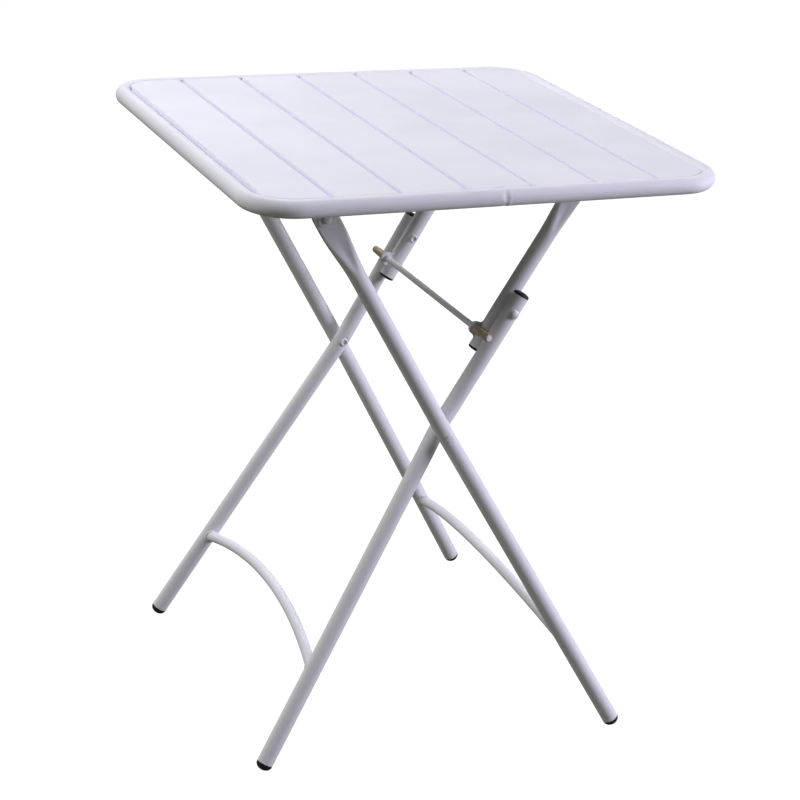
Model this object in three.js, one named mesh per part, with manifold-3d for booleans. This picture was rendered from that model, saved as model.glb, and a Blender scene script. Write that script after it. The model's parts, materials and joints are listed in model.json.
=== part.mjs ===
// Folding table: a slatted sheet-steel top in a tubular rim, carried by two nested pairs of tube legs that
// cross like scissors, and by a pair of short links that lock the legs open with a rod.
// Millimetres and degrees. X runs across the slats, Y along them and Z up, and the floor is z = 0.
import * as THREE from "three";
import { mergeVertices } from "three/addons/utils/BufferGeometryUtils.js";
import Module from "manifold-3d";

const wasm = await Module();
wasm.setup();

// ---- Driving dimensions ----
const GAP = 0.3; // left between pieces that touch
const FAR = 400; // longer than any cutter needs to be

// Facets round a tube, round its bore and round a small turned piece.
const SIDES = { tube: 16, bore: 10, turned: 12 };

const TABLE = { width: 574, depth: 532, height: 717 };
const RIM = { radius: 10, wall: 1.2, cornerRadius: 48, drainRadius: 2, drainX: -195 };
// Pressed sheet: how far it lies below the rim's crown, the grooves between its slats, and the edges of the
// outer slats, where it steps down to a border beside the rim.
const SHEET = { drop: 1, thickness: 1.2, pitch: 77.6, grooves: 6, edge: 263.6, step: 2 };
const GROOVE = { width: 8, floor: 3, depth: 3 };
const TUBE = { radius: 10, wall: 1.2 };
// Pressed end of a tube: a flat with a round tip about the pivot, then a taper up to the round tube.
const FLAT = { halfWidth: 14.5, halfThickness: 2.2, blunt: 0.4, length: 14, taper: 66 };
const ARCH = { radius: 6.5, wall: 1.1 };
const RIVET = { shank: 3, hole: 3.3, head: 5.5, dome: 3.6, sink: 2.4 };
const TAIL = { radius: 4.6, height: 1.4, roll: 0.6, bore: 2, depth: 3 }; // hollow rolled end of a rivet

// Crossing pivot of the two leg pairs.
const CROSS_HEIGHT = 392;
// Each leg pair: lean from vertical, how far the tube's axis lies from the plane y = 0 at its upper end, at
// the crossing pivot and at the floor, and the brace between its tubes.
const OUTER = { lean: 31.1, yTop: 160.5, yCross: 171.4, yFoot: 235.1, archAt: 329, archRise: 48 };
const INNER = { lean: -29.5, yTop: 153.2, yCross: 148.3, yFoot: 202.5, archAt: 320, archRise: 31 };
const OUTER_HINGE_HEIGHT = 663;
const INNER_TOP = 183; // upper end of the inner legs, measured along them from the crossing pivot
const KNEE = 26; // half-length of the bend at the crossing pivot

const LINK = { lean: -30, pivot: 161, length: 173, tail: 58, yHinge: 134, yPivot: 131 };
const ROD = { radius: 3.75, below: 38, halfLength: 166 };
const SLEEVE = { outer: 5, inner: 4.05, start: 131, end: 165 };
const TAB = { y: 127.2, thickness: 3, lobe: 7.5, foot: 15 };
const PLUG = { flange: 1.4, dome: 7.4, stem: 12, stemRadius: 8, capDome: 3.4 };
const FOOT_RISE = 8.6; // height of a leg tube's lower end, at its axis
// Washers at the legs' crossing, at the pivot of the links and at the hinge of the outer legs.
const WASHER = { radius: 6.5, hingeRadius: 10.5, thickness: 0.9, crossThickness: 2.4 };
const EAR = { thickness: 3, radius: 13, top: 709 };
const RAIL = { top: 711.5, height: 22, wall: 1.2, inner: 140.1, outer: 154.4 };

const ENDS = { front: -1, back: 1 };
const RADIANS = Math.PI / 180;
const Y_AXIS = new THREE.Vector3(0, 1, 0);
const Z_AXIS = new THREE.Vector3(0, 0, 1);
const CROSS = new THREE.Vector3(0, 0, CROSS_HEIGHT);

// ---- Materials ----
function finish(name, color, roughness, metalness) {
  const material = new THREE.MeshStandardMaterial({ color, roughness, metalness });
  material.name = name;
  return material;
}
const PAINT = finish("powder_coat", 0xe6e4ee, 0.38, 0.0);
const BLACK = finish("black_plastic", 0x17171b, 0.55, 0.0);
const TAN = finish("tan_plastic", 0xb7a583, 0.5, 0.0);

// ---- Solids ----
const table = new THREE.Group();

function solid(geometry) {
  const bare = geometry.index ? geometry.toNonIndexed() : geometry.clone();
  const plain = new THREE.BufferGeometry().setAttribute("position", bare.getAttribute("position"));
  const merged = mergeVertices(plain, 1e-4);
  const vertProperties = merged.attributes.position.array;
  const triVerts = new Uint32Array(merged.index.array);
  const made = new wasm.Manifold(new wasm.Mesh({ numProp: 3, vertProperties, triVerts }));
  if (made.volume() > 0) return made;
  return new wasm.Manifold(new wasm.Mesh({ numProp: 3, vertProperties, triVerts: triVerts.reverse() }));
}

// Every piece is made for the back of the table, and its front twin is the mirror image.
function mirrored(made, side) {
  return side > 0 ? made : made.mirror([0, 1, 0]);
}

function addPiece(name, made, material) {
  const mesh = made.getMesh();
  const geometry = new THREE.BufferGeometry();
  geometry.setAttribute("position", new THREE.BufferAttribute(new Float32Array(mesh.vertProperties), 3));
  geometry.setIndex(new THREE.BufferAttribute(new Uint32Array(mesh.triVerts), 1));
  geometry.computeVertexNormals();
  const piece = new THREE.Mesh(geometry, material);
  piece.name = name;
  table.add(piece);
}

// Closed skin over rings that all have the same number of points.
function skin(rings, closed = false) {
  const count = rings[0].length;
  const corners = [];
  const quad = (a, b, c, d) => corners.push(a, b, c, a, c, d);
  const last = closed ? rings.length : rings.length - 1;
  for (let i = 0; i < last; i++) {
    const here = rings[i];
    const next = rings[(i + 1) % rings.length];
    here.forEach((point, k) => {
      const after = (k + 1) % count;
      quad(point, here[after], next[after], next[k]);
    });
  }
  if (!closed) {
    const first = rings[0];
    const end = rings[rings.length - 1];
    for (let k = 1; k < count - 1; k++) {
      corners.push(first[0], first[k + 1], first[k]);
      corners.push(end[0], end[k], end[k + 1]);
    }
  }
  const positions = corners.flatMap((point) => [point.x, point.y, point.z]);
  const geometry = new THREE.BufferGeometry();
  geometry.setAttribute("position", new THREE.Float32BufferAttribute(positions, 3));
  return solid(geometry);
}

// A ring of points round centre, in the plane of the unit vectors across and up: a circle, or a slot with
// round ends where halfWidth is more than halfThickness.
function ring(centre, across, up, halfWidth, halfThickness, sides) {
  const points = [];
  for (let k = 0; k < sides; k++) {
    const angle = ((k + 0.5) / sides) * 2 * Math.PI;
    const straight = (halfWidth - halfThickness) * Math.sign(Math.cos(angle));
    const reach = straight + halfThickness * Math.cos(angle);
    const rise = halfThickness * Math.sin(angle);
    points.push(centre.clone().addScaledVector(across, reach).addScaledVector(up, rise));
  }
  return points;
}

// Solid of revolution about the line through base along axis: profile holds [radius, distance] pairs.
function turned(profile, base, axis, sides = SIDES.turned) {
  const points = profile.map(([radius, distance]) => new THREE.Vector2(radius, distance));
  const geometry = new THREE.LatheGeometry(points, sides);
  const turn = new THREE.Quaternion().setFromUnitVectors(Y_AXIS, axis.clone().normalize());
  geometry.applyQuaternion(turn);
  geometry.translate(base.x, base.y, base.z);
  return solid(geometry);
}

function rod(start, end, radius, sides = SIDES.turned) {
  const length = start.distanceTo(end);
  const axis = end.clone().sub(start);
  return turned([[0, 0], [radius, 0], [radius, length], [0, length]], start, axis, sides);
}

// Points of a dome's outline, from its rim at [radius, base] to its crown on the axis.
function domeOutline(radius, height, base, steps = 3) {
  const outline = [];
  for (let i = 0; i <= steps; i++) {
    const angle = (i / steps) * (Math.PI / 2);
    outline.push([i === steps ? 0 : radius * Math.cos(angle), base + height * Math.sin(angle)]);
  }
  return outline;
}

// Outline in the XZ plane extruded from y = low to y = high.
function plate(shape, low, high) {
  const depth = high - low;
  const geometry = new THREE.ExtrudeGeometry(shape, { depth, bevelEnabled: false, curveSegments: 8 });
  geometry.rotateX(Math.PI / 2);
  geometry.translate(0, high, 0);
  return solid(geometry);
}

// ---- Table top ----
const rimHeight = TABLE.height - RIM.radius;
const sheetHeight = TABLE.height - SHEET.drop;
const halfWidth = TABLE.width / 2 - RIM.radius;
const halfDepth = TABLE.depth / 2 - RIM.radius;

// Rings of a tube bent into a rounded rectangle.
function rimSkin(radius, sides) {
  const rings = [];
  const cornerSteps = 6;
  for (let corner = 0; corner < 4; corner++) {
    const signX = corner === 0 || corner === 3 ? 1 : -1;
    const signY = corner < 2 ? 1 : -1;
    const centreX = signX * (halfWidth - RIM.cornerRadius);
    const centreY = signY * (halfDepth - RIM.cornerRadius);
    for (let i = 0; i <= cornerSteps; i++) {
      const angle = (corner + i / cornerSteps) * (Math.PI / 2);
      const out = new THREE.Vector3(Math.cos(angle), Math.sin(angle), 0);
      const centre = new THREE.Vector3(centreX, centreY, rimHeight).addScaledVector(out, RIM.cornerRadius);
      rings.push(ring(centre, out.negate(), Z_AXIS, radius, radius, sides));
    }
  }
  return skin(rings, true);
}

function rimTube() {
  const drain = new THREE.Vector3(RIM.drainX, -halfDepth, rimHeight);
  const below = drain.clone().setZ(rimHeight - 2 * RIM.radius);
  return rimSkin(RIM.radius, SIDES.tube)
    .subtract(rimSkin(RIM.radius - RIM.wall, SIDES.bore))
    .subtract(rod(below, drain, RIM.drainRadius, 8));
}

// The pressed sheet's section across its slats: flat slats parted by grooves with sloping walls.
function sheetSection() {
  const borderHeight = sheetHeight - GROOVE.depth;
  const border = SHEET.edge + SHEET.step;
  const upper = [
    [-halfWidth, borderHeight],
    [-border, borderHeight],
    [-SHEET.edge, sheetHeight],
  ];
  for (let i = 0; i < SHEET.grooves; i++) {
    const x = (i - (SHEET.grooves - 1) / 2) * SHEET.pitch;
    upper.push([x - GROOVE.width / 2, sheetHeight]);
    upper.push([x - GROOVE.floor / 2, sheetHeight - GROOVE.depth]);
    upper.push([x + GROOVE.floor / 2, sheetHeight - GROOVE.depth]);
    upper.push([x + GROOVE.width / 2, sheetHeight]);
  }
  upper.push([SHEET.edge, sheetHeight]);
  upper.push([border, borderHeight]);
  upper.push([halfWidth, borderHeight]);
  const lower = upper.map(([x, z]) => [x, z - SHEET.thickness]).reverse();
  return new THREE.Shape([...upper, ...lower].map(([x, z]) => new THREE.Vector2(x, z)));
}

// Upright block inside the rim's centre line.
function rimBlock() {
  const shape = new THREE.Shape();
  const x = halfWidth - RIM.cornerRadius;
  const y = halfDepth - RIM.cornerRadius;
  shape.absarc(x, y, RIM.cornerRadius, 0, Math.PI / 2);
  shape.absarc(-x, y, RIM.cornerRadius, Math.PI / 2, Math.PI);
  shape.absarc(-x, -y, RIM.cornerRadius, Math.PI, 1.5 * Math.PI);
  shape.absarc(x, -y, RIM.cornerRadius, 1.5 * Math.PI, 2 * Math.PI);
  const depth = 2 * RIM.radius;
  const geometry = new THREE.ExtrudeGeometry(shape, { depth, bevelEnabled: false, curveSegments: 8 });
  geometry.translate(0, 0, TABLE.height - depth);
  return solid(geometry);
}

function topSheet() {
  return plate(sheetSection(), -halfDepth, halfDepth)
    .intersect(rimBlock())
    .subtract(rimSkin(RIM.radius + GAP, SIDES.tube));
}

// Rectangular tube under the sheet, from one side of the rim to the other.
function crossRail(side) {
  const halfLength = halfWidth - RIM.radius - GAP;
  const bar = (inset, half) => {
    const width = RAIL.outer - RAIL.inner - 2 * inset;
    const geometry = new THREE.BoxGeometry(2 * half, width, RAIL.height - 2 * inset);
    geometry.translate(0, (RAIL.inner + RAIL.outer) / 2, RAIL.top - RAIL.height / 2);
    return solid(geometry);
  };
  return mirrored(bar(0, halfLength).subtract(bar(RAIL.wall, halfLength + 1)), side);
}

// ---- Frames of the moving tubes ----
// Unit vector down a tube that leans by that many degrees, towards +X when lean is positive.
function downward(lean) {
  return new THREE.Vector3(Math.sin(lean * RADIANS), 0, -Math.cos(lean * RADIANS));
}

const outerDown = downward(OUTER.lean);
const innerDown = downward(INNER.lean);
const linkDown = downward(LINK.lean);
const outerHingeReach = (OUTER_HINGE_HEIGHT - CROSS_HEIGHT) / Math.cos(OUTER.lean * RADIANS);
const outerHinge = CROSS.clone().addScaledVector(outerDown, -outerHingeReach);
const linkPivot = CROSS.clone().addScaledVector(innerDown, -LINK.pivot);
const linkHinge = linkPivot.clone().addScaledVector(linkDown, -LINK.length);
const footReach = (lean) => (CROSS_HEIGHT - FOOT_RISE) / Math.cos(lean * RADIANS);

// Straight line through two [s, y] pairs.
function line([s0, y0], [s1, y1]) {
  return (s) => y0 + ((y1 - y0) * (s - s0)) / (s1 - s0);
}

// Offset of a leg's axis from y = 0 at distance s below the crossing pivot, with a short bend at the pivot.
function legOffset(leg, topReach, flatReach = topReach) {
  const above = line([-flatReach, leg.yTop], [0, leg.yCross]);
  const below = line([0, leg.yCross], [CROSS_HEIGHT / Math.cos(leg.lean * RADIANS), leg.yFoot]);
  return (s) => {
    if (s <= -flatReach) return leg.yTop;
    if (s <= -KNEE) return above(s);
    if (s >= KNEE) return below(s);
    const share = (s + KNEE) / (2 * KNEE);
    return above(s) * (1 - share) + below(s) * share;
  };
}
const outerFlatReach = outerHingeReach - FLAT.length;
const outerOffset = legOffset(OUTER, outerHingeReach, outerFlatReach);
const innerOffset = legOffset(INNER, INNER_TOP);
const linkFlatStart = -LINK.length + FLAT.length;
const linkSlope = line([linkFlatStart, LINK.yHinge], [0, LINK.yPivot]);
const linkOffset = (s) => (s <= linkFlatStart ? LINK.yHinge : s < 0 ? linkSlope(s) : LINK.yPivot);

// A point and the section's axes at distance s along a tube that starts at origin.
function station(origin, down, offset, s) {
  const at = (t) => origin.clone().addScaledVector(down, t).addScaledVector(Y_AXIS, offset(t));
  const tangent = at(s + 0.5).sub(at(s - 0.5)).normalize();
  const across = new THREE.Vector3().crossVectors(Y_AXIS, down).normalize();
  const up = new THREE.Vector3().crossVectors(tangent, across).normalize();
  return { centre: at(s), tangent, across, up };
}

// Solid tube through the given distances. flatAt is where its end is pressed flat round a pivot, if it is.
function tubeSkin(origin, down, offset, stops, radius, sides, flatAt = null) {
  const rings = stops.map((s) => {
    const { centre, across, up } = station(origin, down, offset, s);
    let wide = radius;
    let thick = radius;
    if (flatAt !== null) {
      const past = s - (flatAt + FLAT.length);
      const share = Math.min(Math.max(past / FLAT.taper, 0), 1);
      const ease = share * share * (3 - 2 * share);
      wide = FLAT.halfWidth + (radius - FLAT.halfWidth) * ease;
      thick = FLAT.halfThickness + (radius - FLAT.halfThickness) * ease;
      if (s < flatAt) wide = Math.max(Math.sqrt(FLAT.halfWidth ** 2 - (flatAt - s) ** 2), thick + 0.05);
    }
    return ring(centre, across, up, wide, thick, sides);
  });
  return skin(rings);
}

const kneeStops = [-KNEE, -KNEE / 2, 0, KNEE / 2, KNEE];

// Distances along the pressed end of a tube whose pivot is at s = pivotAt: a round tip, then a taper.
function flatStops(pivotAt) {
  const tipSteps = 4;
  const taperSteps = 6;
  const stops = [];
  for (let i = 0; i <= tipSteps; i++) {
    const reach = (FLAT.halfWidth - FLAT.blunt) * Math.cos((i / tipSteps) * (Math.PI / 2));
    stops.push(pivotAt - reach);
  }
  for (let i = 0; i <= taperSteps; i++) {
    stops.push(pivotAt + FLAT.length + (i / taperSteps) * FLAT.taper);
  }
  return stops;
}

function pin(at, low, high, radius, sides = SIDES.turned) {
  return rod(new THREE.Vector3(at.x, low, at.z), new THREE.Vector3(at.x, high, at.z), radius, sides);
}

// A tube of a moving frame with a bore, and a hole across it at each pivot. stops run from end to end, and
// boreStops leave a pressed end closed.
function frameTube(origin, down, offset, stops, boreStops, pivots, side, flatAt = null) {
  let made = tubeSkin(origin, down, offset, stops, TUBE.radius, SIDES.tube, flatAt);
  made = made.subtract(tubeSkin(origin, down, offset, boreStops, TUBE.radius - TUBE.wall, SIDES.bore));
  for (const pivot of pivots) made = made.subtract(pin(pivot, 0, FAR, RIVET.hole));
  return mirrored(made, side);
}

function outerLeg(side) {
  const end = footReach(OUTER.lean);
  const stops = [...flatStops(-outerHingeReach), ...kneeStops, end];
  const boreStops = [-outerFlatReach + FLAT.taper, ...kneeStops, end + 1];
  const pivots = [outerHinge, CROSS];
  return frameTube(CROSS, outerDown, outerOffset, stops, boreStops, pivots, side, -outerHingeReach);
}

function innerLeg(side) {
  const end = footReach(INNER.lean);
  const stops = [-INNER_TOP, ...kneeStops, end];
  const boreStops = [-INNER_TOP - 1, ...kneeStops, end + 1];
  return frameTube(CROSS, innerDown, innerOffset, stops, boreStops, [linkPivot, CROSS], side);
}

function upperLink(side) {
  const stops = [...flatStops(-LINK.length), 0, LINK.tail];
  const boreStops = [linkFlatStart + FLAT.taper, 0, LINK.tail + 1];
  const pivots = [linkHinge, linkPivot];
  return frameTube(linkPivot, linkDown, linkOffset, stops, boreStops, pivots, side, -LINK.length);
}

// Bowed brace between the two tubes of a leg pair, in the plane of their axes, highest at y = 0.
function arch(leg, down, offset) {
  const reach = offset(leg.archAt);
  const radius = (reach ** 2 + leg.archRise ** 2) / (2 * leg.archRise);
  const half = Math.asin(reach / radius);
  const across = new THREE.Vector3().crossVectors(Y_AXIS, down).normalize();
  const middle = CROSS.clone().addScaledVector(down, leg.archAt - leg.archRise + radius);
  const steps = 14;
  const bow = (tubeRadius, sides, stretch) => {
    const rings = [];
    for (let i = 0; i <= steps; i++) {
      const angle = (i / steps - 0.5) * 2 * half * stretch;
      const out = Y_AXIS.clone().multiplyScalar(Math.sin(angle)).addScaledVector(down, -Math.cos(angle));
      const centre = middle.clone().addScaledVector(out, radius);
      rings.push(ring(centre, across, out, tubeRadius, tubeRadius, sides));
    }
    return skin(rings);
  };
  const trimmed = [KNEE, footReach(leg.lean)];
  const tube = tubeSkin(CROSS, down, offset, trimmed, TUBE.radius + GAP, SIDES.tube);
  return bow(ARCH.radius, SIDES.turned, 1)
    .subtract(bow(ARCH.radius - ARCH.wall, 8, 1.02))
    .subtract(tube)
    .subtract(tube.mirror([0, 1, 0]));
}

// Moulded foot: a stem in the tube, a flange and a dome that is flat where it meets the floor.
function footPlug(down, offset, lean, side) {
  const { centre, tangent } = station(CROSS, down, offset, footReach(lean));
  const profile = [
    [0, -PLUG.stem],
    [PLUG.stemRadius, -PLUG.stem],
    [PLUG.stemRadius, GAP],
    [TUBE.radius, GAP],
    ...domeOutline(TUBE.radius, PLUG.dome, GAP + PLUG.flange),
  ];
  const floor = new THREE.BoxGeometry(FAR, FAR, FAR).translate(centre.x, centre.y, -FAR / 2);
  return mirrored(turned(profile, centre, tangent).subtract(solid(floor)), side);
}

// Low cap on the open end of a tube. outward is 1 at its lower end and -1 at its upper end.
function endPlug(origin, down, offset, s, outward, side) {
  const { centre, tangent } = station(origin, down, offset, s);
  const radius = TUBE.radius - GAP;
  const profile = [
    [0, -PLUG.stem],
    [PLUG.stemRadius, -PLUG.stem],
    [PLUG.stemRadius, GAP],
    [radius, GAP],
    ...domeOutline(radius, PLUG.capDome, GAP + PLUG.flange),
  ];
  return mirrored(turned(profile, centre, tangent.multiplyScalar(outward)), side);
}

// Rivet along Y through a pivot, with a domed head at y = headY and a hollow rolled-over tail at y = tailY.
// saddle is the tube that the head is pressed onto, when it isn't on a flat.
function rivet(at, tailY, headY, side, saddle = null) {
  const base = new THREE.Vector3(at.x, 0, at.z);
  const rolled = tailY - TAIL.height;
  const shank = turned(
    [
      [0, tailY + TAIL.depth],
      [TAIL.bore, tailY + TAIL.depth],
      [TAIL.bore, rolled],
      [TAIL.radius - TAIL.roll, rolled],
      [TAIL.radius, rolled + TAIL.roll],
      [TAIL.radius, tailY],
      [RIVET.shank, tailY],
      [RIVET.shank, headY],
      [0, headY],
    ],
    base,
    Y_AXIS,
  );
  const under = saddle ? headY - RIVET.sink : headY;
  const headProfile = [[0, under], [RIVET.head, under], ...domeOutline(RIVET.head, RIVET.dome, headY)];
  const head = turned(headProfile, base, Y_AXIS);
  return mirrored(shank.add(saddle ? head.subtract(saddle) : head), side);
}

// Washer round a rivet, with its middle at that distance from y = 0.
function washer(at, middle, side, radius = WASHER.radius, thickness = WASHER.thickness) {
  const disc = pin(at, middle - thickness / 2, middle + thickness / 2, radius);
  return mirrored(disc.subtract(pin(at, 0, FAR, RIVET.hole)), side);
}

// Hanging plate under a rail, with a round lower end about the pivot.
function ear(at, low, side) {
  const shape = new THREE.Shape();
  shape.moveTo(at.x + EAR.radius, EAR.top);
  shape.lineTo(at.x - EAR.radius, EAR.top);
  shape.absarc(at.x, at.z, EAR.radius, Math.PI, 2 * Math.PI);
  shape.closePath();
  return mirrored(plate(shape, low, low + EAR.thickness).subtract(pin(at, 0, FAR, RIVET.hole)), side);
}

// Button head on a plain shank: the shank runs from y = end to the underside of the head at y = under.
function stud(at, end, under, side) {
  const length = Math.abs(under - end);
  const axis = Y_AXIS.clone().multiplyScalar(Math.sign(under - end));
  const profile = [
    [0, 0],
    [RIVET.shank, 0],
    [RIVET.shank, length],
    [RIVET.head, length],
    ...domeOutline(RIVET.head, RIVET.dome, length),
  ];
  return mirrored(turned(profile, new THREE.Vector3(at.x, end, at.z), axis), side);
}

// ---- Lock rod ----
const innerOut = new THREE.Vector3().crossVectors(Y_AXIS, innerDown).normalize();
const rodOffset = TUBE.radius + GAP + SLEEVE.outer;
const rodCentre = linkPivot
  .clone()
  .addScaledVector(innerDown, ROD.below)
  .addScaledVector(innerOut, rodOffset);

// Teardrop flange that carries the rod: a lobe round the rod, and a foot along the link.
function lockTab(side) {
  const linkOut = new THREE.Vector3().crossVectors(Y_AXIS, linkDown).normalize();
  const reach = rodCentre.clone().sub(linkPivot).dot(linkDown);
  const root = linkPivot.clone().addScaledVector(linkDown, reach);
  const from = (start, along, out) => {
    return start.clone().addScaledVector(linkDown, along).addScaledVector(linkOut, out);
  };
  const steps = 8;
  const outline = [from(root, TAB.foot, TUBE.radius / 2)];
  for (let i = 0; i <= steps; i++) {
    const angle = (i / steps) * Math.PI;
    outline.push(from(rodCentre, TAB.lobe * Math.cos(angle), TAB.lobe * Math.sin(angle)));
  }
  outline.push(from(root, -TAB.foot, TUBE.radius / 2));
  const shape = new THREE.Shape(outline.map((point) => new THREE.Vector2(point.x, point.z)));
  const tube = tubeSkin(linkPivot, linkDown, linkOffset, [0, LINK.tail], TUBE.radius + GAP, SIDES.tube);
  const made = plate(shape, TAB.y, TAB.y + TAB.thickness)
    .subtract(tube)
    .subtract(pin(rodCentre, 0, FAR, ROD.radius + GAP));
  return mirrored(made, side);
}

function sleeve(side) {
  const tube = pin(rodCentre, SLEEVE.start, SLEEVE.end, SLEEVE.outer);
  return mirrored(tube.subtract(pin(rodCentre, 0, FAR, SLEEVE.inner)), side);
}

// ---- Assembly ----
addPiece("top_rim", rimTube(), PAINT);
addPiece("top_sheet", topSheet(), PAINT);
addPiece("outer_arch", arch(OUTER, outerDown, outerOffset), PAINT);
addPiece("inner_arch", arch(INNER, innerDown, innerOffset), PAINT);
addPiece("lock_rod", pin(rodCentre, -ROD.halfLength, ROD.halfLength, ROD.radius), PAINT);

const outerEarLow = RAIL.outer + GAP;
const linkEarLow = RAIL.inner - GAP - EAR.thickness;
const innerAtPivot = innerOffset(-LINK.pivot);
const saddle = (down, offset, stops) => tubeSkin(CROSS, down, offset, stops, TUBE.radius + GAP, SIDES.tube);
const crossSaddle = saddle(outerDown, outerOffset, kneeStops);
const pivotSaddle = saddle(innerDown, innerOffset, [-INNER_TOP, -KNEE]);
const crossTail = INNER.yCross - TUBE.radius - GAP;
const pivotTail = LINK.yPivot - TUBE.radius - GAP;
// The closed linkage is opened at the outer legs' hinge, so its rivet is in two halves that don't meet.
const hingeOuterFace = OUTER.yTop + FLAT.halfThickness + GAP;
const hingeInnerFace = OUTER.yTop - FLAT.halfThickness;
const linkInnerFace = LINK.yHinge - FLAT.halfThickness - GAP;

for (const [end, side] of Object.entries(ENDS)) {
  addPiece(`cross_rail_${end}`, crossRail(side), PAINT);
  addPiece(`outer_ear_${end}`, ear(outerHinge, outerEarLow, side), PAINT);
  addPiece(`link_ear_${end}`, ear(linkHinge, linkEarLow, side), PAINT);
  addPiece(`outer_leg_${end}`, outerLeg(side), PAINT);
  addPiece(`inner_leg_${end}`, innerLeg(side), PAINT);
  addPiece(`upper_link_${end}`, upperLink(side), PAINT);
  addPiece(`outer_foot_${end}`, footPlug(outerDown, outerOffset, OUTER.lean, side), BLACK);
  addPiece(`inner_foot_${end}`, footPlug(innerDown, innerOffset, INNER.lean, side), BLACK);
  addPiece(`inner_leg_cap_${end}`, endPlug(CROSS, innerDown, innerOffset, -INNER_TOP, -1, side), BLACK);
  addPiece(`link_cap_${end}`, endPlug(linkPivot, linkDown, linkOffset, LINK.tail, 1, side), BLACK);
  addPiece(`lock_tab_${end}`, lockTab(side), PAINT);
  addPiece(`rod_sleeve_${end}`, sleeve(side), TAN);

  const crossRivet = rivet(CROSS, crossTail, OUTER.yCross + TUBE.radius, side, crossSaddle);
  const linkRivet = rivet(linkPivot, pivotTail, innerAtPivot + TUBE.radius, side, pivotSaddle);
  const crossMiddle = (INNER.yCross + OUTER.yCross) / 2;
  const crossWasher = washer(CROSS, crossMiddle, side, WASHER.radius, WASHER.crossThickness);
  const hingeMiddle = hingeOuterFace + WASHER.thickness / 2;
  const hingeWasher = washer(outerHinge, hingeMiddle, side, WASHER.hingeRadius);
  const legHalf = stud(outerHinge, hingeInnerFace, hingeOuterFace + WASHER.thickness + GAP, side);
  const earHalf = stud(outerHinge, outerEarLow + EAR.thickness, outerEarLow - GAP, side);
  addPiece(`cross_rivet_${end}`, crossRivet, PAINT);
  addPiece(`link_rivet_${end}`, linkRivet, PAINT);
  addPiece(`cross_washer_${end}`, crossWasher, PAINT);
  addPiece(`link_washer_${end}`, washer(linkPivot, (LINK.yPivot + innerAtPivot) / 2, side), PAINT);
  addPiece(`outer_hinge_washer_${end}`, hingeWasher, PAINT);
  addPiece(`outer_hinge_rivet_${end}`, legHalf, PAINT);
  addPiece(`outer_ear_rivet_${end}`, earHalf, PAINT);
  addPiece(`link_hinge_rivet_${end}`, stud(linkHinge, RAIL.inner - GAP, linkInnerFace, side), PAINT);
}

export default table;
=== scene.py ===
import json
import math

import bmesh
import bpy
from mathutils import Matrix, Vector, noise


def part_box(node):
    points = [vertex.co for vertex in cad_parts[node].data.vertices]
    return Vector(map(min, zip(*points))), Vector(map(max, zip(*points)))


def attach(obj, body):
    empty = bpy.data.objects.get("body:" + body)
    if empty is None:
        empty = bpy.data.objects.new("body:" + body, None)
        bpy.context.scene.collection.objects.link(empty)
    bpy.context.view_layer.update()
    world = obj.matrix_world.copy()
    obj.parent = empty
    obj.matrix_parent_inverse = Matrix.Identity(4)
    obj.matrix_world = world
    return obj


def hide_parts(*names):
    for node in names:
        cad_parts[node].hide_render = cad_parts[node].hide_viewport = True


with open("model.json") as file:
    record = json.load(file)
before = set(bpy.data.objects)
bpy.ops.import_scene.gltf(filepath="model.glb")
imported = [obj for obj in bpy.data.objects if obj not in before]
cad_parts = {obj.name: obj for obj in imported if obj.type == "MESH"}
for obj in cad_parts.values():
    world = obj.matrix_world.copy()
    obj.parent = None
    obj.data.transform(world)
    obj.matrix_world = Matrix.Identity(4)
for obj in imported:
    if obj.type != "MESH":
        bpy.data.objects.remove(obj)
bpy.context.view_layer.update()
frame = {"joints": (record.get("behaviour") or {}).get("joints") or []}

# White folding table: painted steel, moulded plastic feet, caps and sleeves, and the welds between them.
# Metres and degrees. X runs across the slats, Y along them and Z up, and the floor is z = 0.

# ---- Driving dimensions ----
MM = 0.001
TABLE = (574 * MM, 532 * MM, 717 * MM)
TUBE = 10 * MM
RIM = 10 * MM
RIM_CORNER = 48 * MM
ARCH = 6.5 * MM
ROD = 3.75 * MM
WALL = 1.2 * MM  # of the rails and the sheet
SHEET_Z = TABLE[2] - 1 * MM
GROOVES = 6
GROOVE_PITCH = 77.6 * MM
GROOVE_DEPTH = 3 * MM
GROOVE_FLOOR = 2 * MM  # half the width of a groove's flat floor
GROOVE_WALL = 2 * MM  # width of each sloping wall
SLAT_EDGE = 263.6 * MM  # where the outer slats step down to a border beside the rim
STEP_START = SLAT_EDGE - 0.4 * MM
STEP_WALL = 1.8 * MM
SEAM_X = 4 * MM  # where the rim's ends are welded together, in the middle of the front
DRAIN_X = -195 * MM
DRAIN = 2 * MM
FLAT_HALF_WIDTH = 14.5 * MM
FLAT_HALF_THICKNESS = 2.2 * MM
FLAT_LENGTH = 14 * MM
FLAT_TAPER = 66 * MM
KNEE = 26 * MM
# Distance of each tube's axis from the plane y = 0: at its upper end, at its pivot and at the floor.
OUTER_Y = (160.5 * MM, 171.4 * MM, 235.1 * MM)
INNER_Y = (153.2 * MM, 148.3 * MM, 202.5 * MM)
LINK_Y = (134 * MM, 131 * MM)
INNER_TOP = 183 * MM  # from the crossing pivot to the inner legs' upper ends
LINK_TAIL = 58 * MM  # from the links' lower pivot to their lower ends
OUTER_ARCH = (329 * MM, 48 * MM)  # where a brace meets its legs, below the crossing, and how far it bows
INNER_ARCH = (320 * MM, 31 * MM)
FOOT_RISE = 8.6 * MM
RIVET_HEAD = 5.5 * MM
SEAT = 9.2 * MM  # how far from a tube's axis a rivet has pressed its wall
SEAT_REACH = 6.3 * MM
RAIL_CORNER = 2.2 * MM
TAB_FOOT = 15 * MM
TAB_LOBE = 7.4 * MM
CROSS_HEAD = 2.7 * MM  # how far the rivets' heads stand out, and then the plugs' domes
PIVOT_HEAD = 4 * MM
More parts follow.
